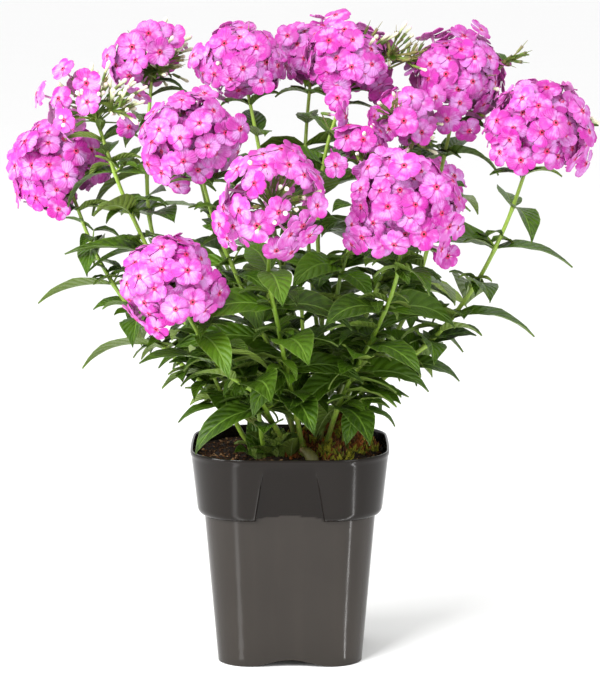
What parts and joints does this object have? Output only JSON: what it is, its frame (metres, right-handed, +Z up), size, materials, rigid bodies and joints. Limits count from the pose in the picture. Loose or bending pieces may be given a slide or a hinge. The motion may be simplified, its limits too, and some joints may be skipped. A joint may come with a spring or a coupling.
{
  "type": "potted garden phlox",
  "caption": "Bushy flowering perennial with leafy stems and domed heads of pink five-petalled florets, growing in a square tapered nursery pot.",
  "frame": {"origin": "on the surface that the pot stands on, under the middle of the pot", "axes": "+Z up along the pot's upright axis, -Y towards the front that the picture shows, +X to its right"},
  "size_m": [0.5024, 0.4223, 0.5463],
  "materials": {
    "pot_plastic": "satin",
    "soil": "matte",
    "foliage": "satin",
    "petals": "matte"
  },
  "bodies": {
    "root": {"head_back_left": "petals", "head_back_right": "petals", "head_centre_left": "petals", "head_centre_right": "petals", "head_front_centre": "petals", "head_left": "petals", "head_lower_left": "petals", "head_mid": "petals", "head_mid_right": "petals", "head_right": "petals", "head_spray": "petals", "head_top_centre_a": "petals", "head_top_centre_b": "petals", "head_top_centre_left": "petals", "head_top_left": "petals", "head_top_right": "petals", "pot": "pot_plastic", "shoot_front": "foliage", "shoot_left": "foliage", "shoot_middle": "foliage", "shoot_right": "foliage", "soil": "soil", "stem_back_left": "foliage", "stem_back_right": "foliage", "stem_centre_left": "foliage", "stem_centre_right": "foliage", "stem_front_centre": "foliage", "stem_left": "foliage", "stem_lower_left": "foliage", "stem_mid": "foliage", "stem_mid_right": "foliage", "stem_right": "foliage", "stem_spray": "foliage", "stem_top_centre_a": "foliage", "stem_top_centre_b": "foliage", "stem_top_centre_left": "foliage", "stem_top_left": "foliage", "stem_top_right": "foliage"}
  },
  "joints": []
}
